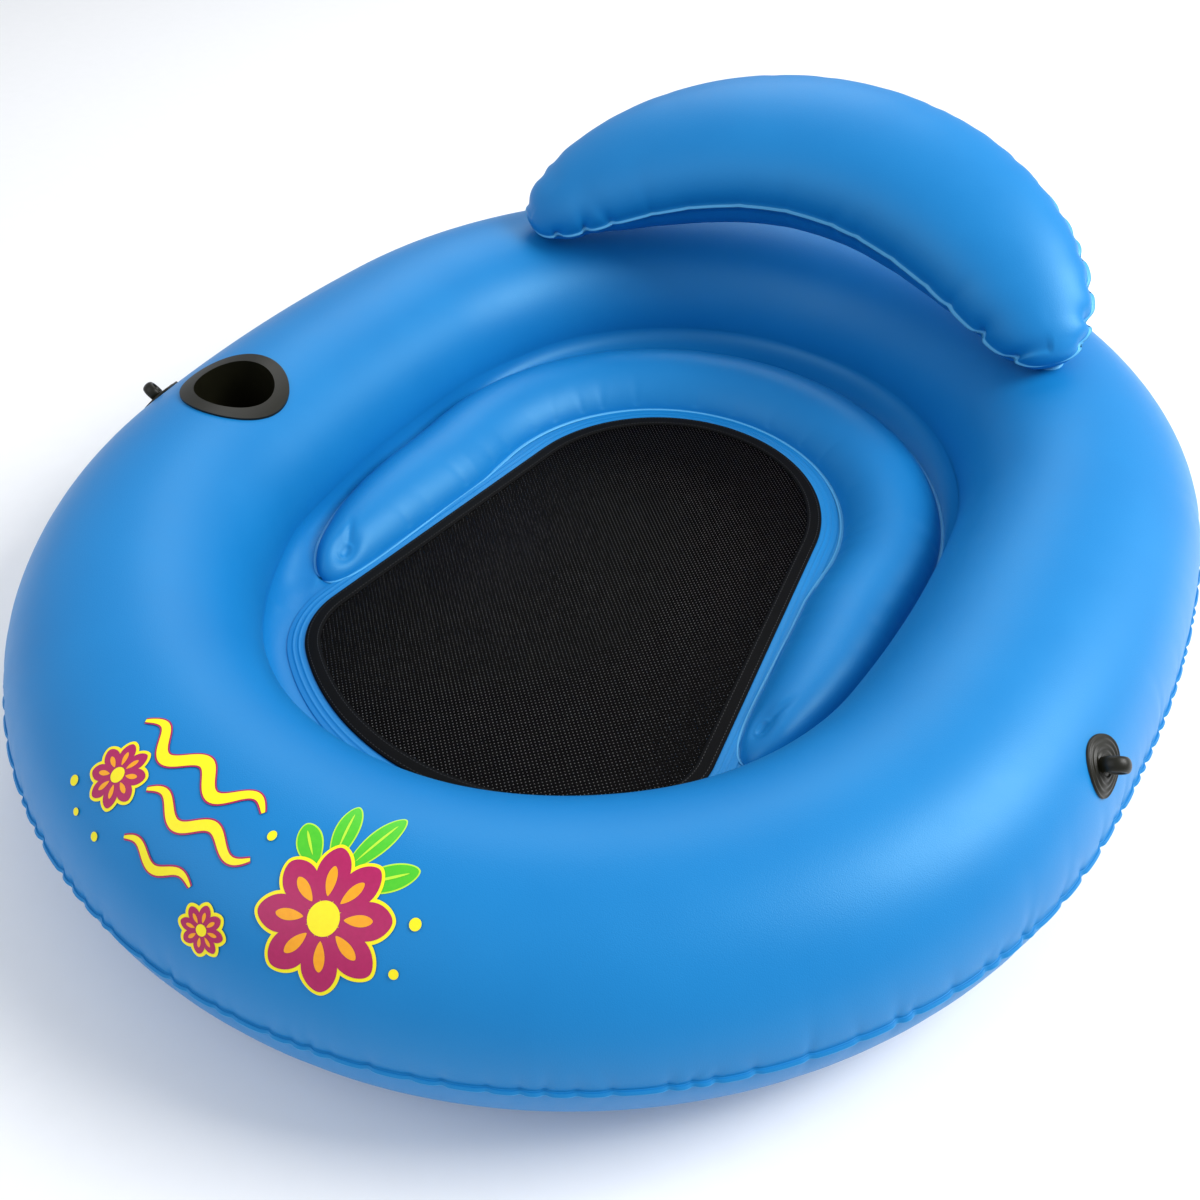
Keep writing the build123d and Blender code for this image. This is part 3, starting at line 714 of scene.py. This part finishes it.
turn = np.linspace(-1, 1, PILLOW_STATIONS) * (math.pi / 2 - 0.03)
part = np.sin(turn)
arc = PILLOW_HALF_ARC * part
back = np.array([0, math.cos(PILLOW_TILT), math.sin(PILLOW_TILT)])
up = np.array([0, -math.sin(PILLOW_TILT), math.cos(PILLOW_TILT)])
side_x = np.array([1.0, 0, 0])
middle = (np.array([0, PILLOW_Y, PILLOW_Z]) + PILLOW_RADIUS * np.sin(arc)[:, None] * side_x
          + PILLOW_RADIUS * (np.cos(arc) - 1)[:, None] * back
          - (PILLOW_DROOP * part**2)[:, None] * up)
radial = np.sin(arc)[:, None] * side_x + np.cos(arc)[:, None] * back
scale = (1 - np.abs(part)**PILLOW_FULLNESS)**(1 / PILLOW_FULLNESS)
rim = {side: middle + radial * (side * PILLOW_HALF_W * scale)[:, None] for side in (-1, 1)}
run = {side: np.concatenate([[0], np.cumsum(np.linalg.norm(np.diff(rim[side], axis=0), axis=1))])
       for side in (-1, 1)}
seam_steps = {-1: (0.034, 0.066), 1: (0.026, 0.046)}
gathers = {side: pucker_list(23 + side, run[side][-1], seam_steps[side], (0.014, 0.055))
           for side in (-1, 1)}
tip_share = 0.12 + 0.88 * np.clip((np.abs(part) - 0.55) / 0.35, 0, 1)**1.5
rear_share = 0.35 + 0.65 * np.clip((part + 0.1) / 0.6, 0, 1)
dome = np.linspace(0, math.pi, PILLOW_DOME)
sag = 1 - np.clip(np.abs(part) / 0.8, 0, 1)**2
under_swell = sag * (2 - sag)
columns = []
for face in (1, -1):
    angles = dome if face > 0 else dome[::-1]
    for angle in angles:
        side = 1 if angle < math.pi / 2 else -1
        to_seam = min(angle, math.pi - angle) * (PILLOW_HALF_W + PILLOW_HALF_T) / 2 * scale
        share = tip_share if side < 0 else np.maximum(tip_share, 0.45 * rear_share)
        lift = share * puckers(run[side], to_seam, run[side][-1], gathers[side],
                                 GATHER_WIDTH, GATHER_DEPTH)
        wide = PILLOW_HALF_W * scale * math.cos(angle)
        front = min(max(0.5 - 0.7 * math.cos(angle), 0), 1) if face < 0 else 0
        front = front**2 * (3 - 2 * front) * under_swell
        round_t = PILLOW_HALF_T + (PILLOW_UNDER_T - PILLOW_HALF_T) * front
        tall = round_t * scale * max(math.sin(angle), 0)**(0.92 - 0.22 * front)
        normal_w, normal_t = math.cos(angle) / PILLOW_HALF_W, math.sin(angle) / PILLOW_HALF_T
        long = math.hypot(normal_w, normal_t)
        fade = np.clip(scale / 0.25, 0, 1)
        wide = wide + fade * lift * normal_w / long
        tall = tall + fade * lift * normal_t / long + 0.0004
        columns.append(middle + radial * wide[:, None] + up * (face * tall)[:, None])
    side = -1 if face > 0 else 1
    for reach in (0.5, 1.0) if face > 0 else (1.0, 0.5):
        sway = puckers(run[side], np.zeros(PILLOW_STATIONS), run[side][-1], gathers[side],
                       0.007, 1.0)
        share = tip_share if side < 0 else np.maximum(tip_share, 0.45 * rear_share)
        wide = side * (PILLOW_HALF_W * scale + reach * PILLOW_MARGIN * (1 + 0.3 * share * sway)
                       + 0.006 * share * sway)
        tall = 0.0010 * sway * share
        columns.append(middle + radial * wide[:, None] + up * tall[:, None])
pillow_points = np.stack(columns, 1)
rings = pillow_points.shape[1]
pillow_faces = grid_faces(PILLOW_STATIONS, rings, close_columns=True)
tips = [pillow_points[0].mean(0), pillow_points[-1].mean(0)]
flat_points = np.concatenate([pillow_points.reshape(-1, 3), tips])
last = (PILLOW_STATIONS - 1) * rings
count = len(flat_points)
pillow_faces += [(k, (k + 1) % rings, count - 2) for k in range(rings)]
pillow_faces += [(last + (k + 1) % rings, last + k, count - 1) for k in range(rings)]
pillow = new_piece("pillow_skin", flat_points, pillow_faces, film)
press(pillow, rings, [PILLOW_DOME - 1, PILLOW_DOME, PILLOW_DOME + 1,
                      rings - 3, rings - 2, rings - 1])
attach(pillow, "pillow")
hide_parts("pillow_top_panel", "pillow_bottom_panel")

TAB_PLACE = (0.338, 0.374)
TAB_HALF = (0.020, 0.015)
TAB_T = 0.0016

sections, outs = oval(round_oval)
for name, side in (("right", 1), ("left", -1)):
    spot = np.array([side * TAB_PLACE[0], TAB_PLACE[1]])
    nearest = np.argmin(np.linalg.norm(sections - spot, axis=1))
    from_middle = float(np.dot(spot - sections[nearest], outs[nearest]))
    tilt = math.acos(from_middle / TUBE_HALF_W)
    turn = np.linspace(0, 2 * np.pi, 60, endpoint=False)
    patch = []
    for part_out, thick in ((1.0, 0.0002), (0.97, 1.0), (0.6, 1.0), (0.05, 1.0)):
        ahead = round_oval[nearest] + TAB_HALF[0] * part_out * np.cos(turn)
        around = tilt + TAB_HALF[1] * part_out * np.sin(turn) / TUBE_HALF_W
        patch.append(on_tube(ahead, around, TAB_T * thick))
    faces = [face[::-1] for face in grid_faces(4, 60, close_columns=True)]
    tab = new_piece(f"pillow_weld_tab_{name}", np.concatenate(patch), faces + [tuple(range(180, 240))],
                    pressed_film)
    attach(tab, "float")
    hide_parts(f"pillow_tab_{name}")


# ---- Cup holder and rope eyelets -------------------------------------------------------------
# One-piece mouldings of soft PVC in olive black, welded on round the rims of their flanges.
# The cup hangs in its hole in the tube. Each eyelet is an egg-shaped base, with turned rings,
# under a fat loop that a rope ties through.

# Soft PVC, injection moulded in a spark-eroded tool: fine even pits, a low waxy shine.
moulded = new_finish("soft_pvc_moulded")
place = add(moulded, "ShaderNodeTexCoord").outputs["Object"]
mottle = add(moulded, "ShaderNodeTexNoise", {"Vector": place, "Scale": 1 / 0.018, "Detail": 3.0})
olive = add(moulded, "ShaderNodeMix", {"Factor": mottle.outputs["Fac"], "A": linear("12120A"),
                                       "B": linear("1B1A0E")}, data_type="RGBA")
pits = add(moulded, "ShaderNodeTexNoise", {"Vector": place, "Scale": 1 / 0.0009, "Detail": 2.0})
texture = add(moulded, "ShaderNodeBump", {"Height": pits.outputs["Fac"], "Strength": 0.22,
                                          "Distance": 0.0004})
shader = add(moulded, "ShaderNodeBsdfPrincipled", {
    "Base Color": olive.outputs["Result"], "Roughness": 0.38, "Normal": texture.outputs["Normal"],
    "Specular IOR Level": 0.3})
add(moulded, "ShaderNodeOutputMaterial", {"Surface": shader.outputs[0]})

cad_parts["cup_holder"].data.materials.clear()
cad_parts["cup_holder"].data.materials.append(moulded)

EYELET_Y = -0.162
EYELET_Z = 0.1752
EYELET_TURN = math.radians(44)
EYELET_HALF = (0.0275, 0.0235)
EYELET_T = 0.0026
EYELET_RINGS = 5
LUG_RADIUS = 0.0096
LUG_ROD = (0.0036, 0.0068)
LUG_RISE = 0.0095

eyelet_angle = math.asin((EYELET_Z - TUBE_Z) / TUBE_HALF_H)
turn = np.linspace(0, 2 * np.pi, 72, endpoint=False)
on_side = on_tube(round_oval, eyelet_angle)
for side, name in ((1, "right"), (-1, "left")):
    at = round_oval[np.argmin(np.abs(on_side[:, 1] - EYELET_Y) + 9 * (on_side[:, 0] * side < 0))]
    shares = np.concatenate([[1.0], np.linspace(0.985, 0.02, 40)])[:, None]
    long_way = EYELET_HALF[0] * shares * np.cos(turn)
    wide_way = EYELET_HALF[1] * shares * np.sin(turn) * (1 + 0.16 * np.cos(turn))
    ahead = long_way * math.sin(EYELET_TURN) - wide_way * math.cos(EYELET_TURN)
    upward = long_way * math.cos(EYELET_TURN) + wide_way * math.sin(EYELET_TURN)
    thick = EYELET_T * (1.2 - 0.55 * shares**2) + 0.00045 * np.cos(2 * np.pi * EYELET_RINGS * shares)
    thick[0] = 0.0002
    base_points = on_tube(at + side * ahead, eyelet_angle + upward / TUBE_HALF_W, thick)
    faces = grid_faces(41, 72, close_columns=True) + [tuple(range(40 * 72, 41 * 72))]
    root = on_tube(at, eyelet_angle)
    axes = [on_tube(at, eyelet_angle, 0.001) - root, on_tube(at + side * 0.001, eyelet_angle) - root,
            on_tube(at, eyelet_angle + 0.01) - root]
    outward, along_side, up_side = [axis / np.linalg.norm(axis) for axis in axes]
    bore = math.sin(EYELET_TURN) * along_side + math.cos(EYELET_TURN) * up_side
    spread = math.sin(EYELET_TURN) * up_side - math.cos(EYELET_TURN) * along_side
    bend, round_rod = np.meshgrid(np.linspace(0, 2 * np.pi, 40, endpoint=False),
                                  np.linspace(0, 2 * np.pi, 20, endpoint=False), indexing="ij")
    lug_reach = LUG_RADIUS + LUG_ROD[0] * np.cos(round_rod)
    lug = (root + (LUG_RISE + lug_reach * np.cos(bend))[..., None] * outward
           + (lug_reach * np.sin(bend))[..., None] * spread
           + (LUG_ROD[1] * np.sin(round_rod))[..., None] * bore)
    rod_faces = [[41 * 72 + i for i in face]
                 for face in grid_faces(40, 20, close_rows=True, close_columns=True)]
    eyelet = new_piece(f"rope_eyelet_moulding_{name}",
                       np.concatenate([base_points.reshape(-1, 3), lug.reshape(-1, 3)]),
                       faces + rod_faces, moulded)
    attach(eyelet, "float")
    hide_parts(f"rope_eyelet_{name}")

CUP_BORE = 0.045
cup_low, cup_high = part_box("cup_holder")
CUP_Y = (cup_low.y + cup_high.y) / 2
CUP_X = -(HALF_WIDTH - 0.022)
cut_round(ring_top, (CUP_X, CUP_Y, cup_high.z), (0.0947, 0.0, 0.9955), CUP_BORE + 0.006)


# ---- Inflation valves ------------------------------------------------------------------------
# Each air chamber has a soft PVC valve welded into its film: a flanged neck, a stopper on a
# strap, and a check flap inside. They stay a milky clear; the blue of the film seen through
# them is painted into their colour as a pale blue tint.

# Soft PVC, injection moulded and unpigmented: glossy, slightly cloudy. Its pale blue is painted in, for
# the film seen through it.
clear = new_finish("soft_pvc_clear")
place = add(clear, "ShaderNodeTexCoord").outputs["Object"]
haze = add(clear, "ShaderNodeTexNoise", {"Vector": place, "Scale": 1 / 0.006, "Detail": 2.0})
# Milky haze, with the blue of the film beneath painted in as a pale blue tint.
milk_and_painted_film_blue = add(clear, "ShaderNodeMix", {"Factor": haze.outputs["Fac"], "A": linear("B9D8EE"),
                                    "B": linear("D6E8F4")}, data_type="RGBA")
flow = add(clear, "ShaderNodeBump", {"Height": haze.outputs["Fac"], "Strength": 0.15,
                                     "Distance": 0.0003})
shader = add(clear, "ShaderNodeBsdfPrincipled", {
    "Base Color": milk_and_painted_film_blue.outputs["Result"], "Roughness": 0.24, "Normal": flow.outputs["Normal"],
    "IOR": 1.52, "Subsurface Weight": 0.35, "Subsurface Scale": 0.004})
add(clear, "ShaderNodeOutputMaterial", {"Surface": shader.outputs[0]})

for chamber in ("ring", "bolster", "pillow"):
    for moulding in ("body", "plug", "flap"):
        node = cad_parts[f"{chamber}_valve_{moulding}"]
        node.data.materials.clear()
        node.data.materials.append(clear)


# ---- Printed decoration ----------------------------------------------------------------------
# Solvent ink screened on the front left of the ring: round-petalled daisies, plain leaves and
# wavy bands, each colour a separate pass over a wider keyline.

PRINT_MIDDLE = math.radians(-90)
PRINT_RISE = math.radians(60)
INK_LAYERS = {"leaf_line": 0.0003, "leaf": 0.0005, "vein": 0.0007, "keyline": 0.0009,
              "fill": 0.0011, "top": 0.0013}
KEYLINE = 0.0026


def on_print(across, rise, lift):
    """Points on the ring's front: metres to the right and up from the middle of the print."""
    spread = (END_RADIUS + TUBE_HALF_W * math.cos(PRINT_RISE)) / END_RADIUS
    front = ROUND - SIDE_LENGTH / 2 - END_LENGTH
    turned = PRINT_MIDDLE - (-math.pi + SIDE_ANGLE)
    along = front + turned * END_RADIUS + across / spread
    angle = PRINT_RISE + rise / ((TUBE_HALF_W + TUBE_HALF_H) / 2)
    return on_tube(along, angle, lift)


ink_points, ink_faces = {}, {}


def ribbon(ink, layer, path, halves):
    """A patch of ink that follows a path, with a half-width at each of its points."""
    path, halves = np.array(path), np.array(halves)
    ahead = np.gradient(path, axis=0)
    ahead = ahead / np.linalg.norm(ahead, axis=1)[:, None]
    aside = np.stack([-ahead[:, 1], ahead[:, 0]], -1)
    steps = np.linspace(-1, 1, 7)
    plan = path[:, None, :] + aside[:, None, :] * (halves[:, None] * steps[None, :])[..., None]
    points = on_print(plan[..., 0], plan[..., 1], INK_LAYERS[layer]).reshape(-1, 3)
    first = len(ink_points.setdefault(ink, []))
    ink_points[ink] += points.tolist()
    faces = [[first + i for i in face[::-1]] for face in grid_faces(*plan.shape[:2])]
    ink_faces.setdefault(ink, []).extend(faces)


def petal(middle, turn, near, far, width, grow):
    """Path and half-widths of one round petal or leaf, grown all round by grow."""
    t = (1 - np.cos(np.linspace(0, np.pi, 34))) / 2
    reach = near - grow + t * (far - near + 2 * grow)
    bulge = np.sin(np.pi * t**1.25)**0.55
    path = np.array(middle) + reach[:, None] * np.array([math.cos(turn), math.sin(turn)])
    return path, bulge * (width / 2 + grow) + 1e-5


def disc(middle, radius):
    t = -np.cos(np.linspace(0, np.pi, 34))
    path = np.array(middle) + np.stack([t * radius, np.zeros_like(t)], -1)
    return path, radius * np.sqrt(1 - t**2) + 1e-5


def daisy(middle, radius, turn):
    """Eight petals over a keyline, with a centre."""
    for k in range(8):
        at = turn + k * math.pi / 4
        width = 0.52 * radius
        ribbon("yellow_ink", "keyline", *petal(middle, at, 0.16 * radius, radius, width, KEYLINE))
        ribbon("magenta_ink", "fill", *petal(middle, at, 0.16 * radius, radius, width, 0))
        ribbon("gold_ink", "top", *petal(middle, at, 0.30 * radius, 0.72 * radius, 0.16 * radius, 0))
    ribbon("yellow_ink", "top", *disc(middle, 0.24 * radius))


def wave(start, length, swing, count, thick):
    """A tapering wavy band with its keyline."""
    t = np.linspace(0, 1, 90)
    path = np.stack([start[0] + t * length,
                     start[1] + swing * np.sin(2 * np.pi * count * t)], -1)
    halves = thick * (0.25 + 0.75 * np.sin(np.pi * t)**0.7) / 2
    ribbon("magenta_ink", "keyline", path, halves + 0.0014)
    ribbon("yellow_ink", "fill", path, halves)


for turn, reach in ((25, 0.074), (62, 0.080), (98, 0.070), (136, 0.058)):
    at = math.radians(turn)
    ribbon("pale_green_ink", "leaf_line", *petal((0.092, 0.012), at, 0.02, reach, 0.019, KEYLINE / 2))
    ribbon("green_ink", "leaf", *petal((0.092, 0.012), at, 0.02, reach, 0.019, 0))
    ribbon("pale_green_ink", "vein", *petal((0.092, 0.012), at, 0.03, 0.9 * reach, 0.0022, 0))
daisy((0.100, -0.006), 0.052, 0.2)
daisy((-0.128, 0.004), 0.027, 0.5)
daisy((0.012, -0.050), 0.019, 0.1)
wave((-0.155, 0.046), 0.165, 0.009, 2.5, 0.011)
wave((-0.095, 0.012), 0.120, 0.007, 2.0, 0.009)
wave((-0.085, -0.026), 0.075, 0.005, 1.5, 0.007)
for x, y, r in ((-0.162, -0.026, 0.0045), (-0.142, -0.042, 0.0032), (0.030, 0.034, 0.0040),
                (0.160, -0.030, 0.0036), (0.168, 0.006, 0.0046), (-0.112, -0.044, 0.0038)):
    ribbon("yellow_ink", "fill", *disc((x, y), r))

# Vinyl ink, screen printed: as satin as the film, with the faint mottle of a hand-pulled pass.
INK_COLOURS = {"yellow_ink": ("FFF200", "FBE600"), "magenta_ink": ("B8105F", "A60A52"),
               "gold_ink": ("F59A00", "FFB000"), "green_ink": ("3FBF1E", "55CC22"),
               "pale_green_ink": ("C4F23A", "B2EA2E")}
for ink, (light, deep) in INK_COLOURS.items():
    finish = new_finish(f"vinyl_{ink}_screened")
    place = add(finish, "ShaderNodeTexCoord").outputs["Object"]
    pull = add(finish, "ShaderNodeTexNoise", {"Vector": place, "Scale": 1 / 0.004, "Detail": 3.0})
    colour = add(finish, "ShaderNodeMix", {"Factor": pull.outputs["Fac"], "A": linear(light),
                                           "B": linear(deep)}, data_type="RGBA")
    grain = add(finish, "ShaderNodeTexNoise", {"Vector": place, "Scale": 1 / FILM_GRAIN})
    bumps = add(finish, "ShaderNodeBump", {"Height": grain.outputs["Fac"], "Strength": 0.08,
                                           "Distance": 0.0004})
    shader = add(finish, "ShaderNodeBsdfPrincipled", {
        "Base Color": colour.outputs["Result"], "Roughness": 0.42,
        "Normal": bumps.outputs["Normal"], "IOR": 1.5})
    add(finish, "ShaderNodeOutputMaterial", {"Surface": shader.outputs[0]})
    print_piece = new_piece(f"print_{ink}", ink_points[ink], ink_faces[ink], finish)
    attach(print_piece, "float")
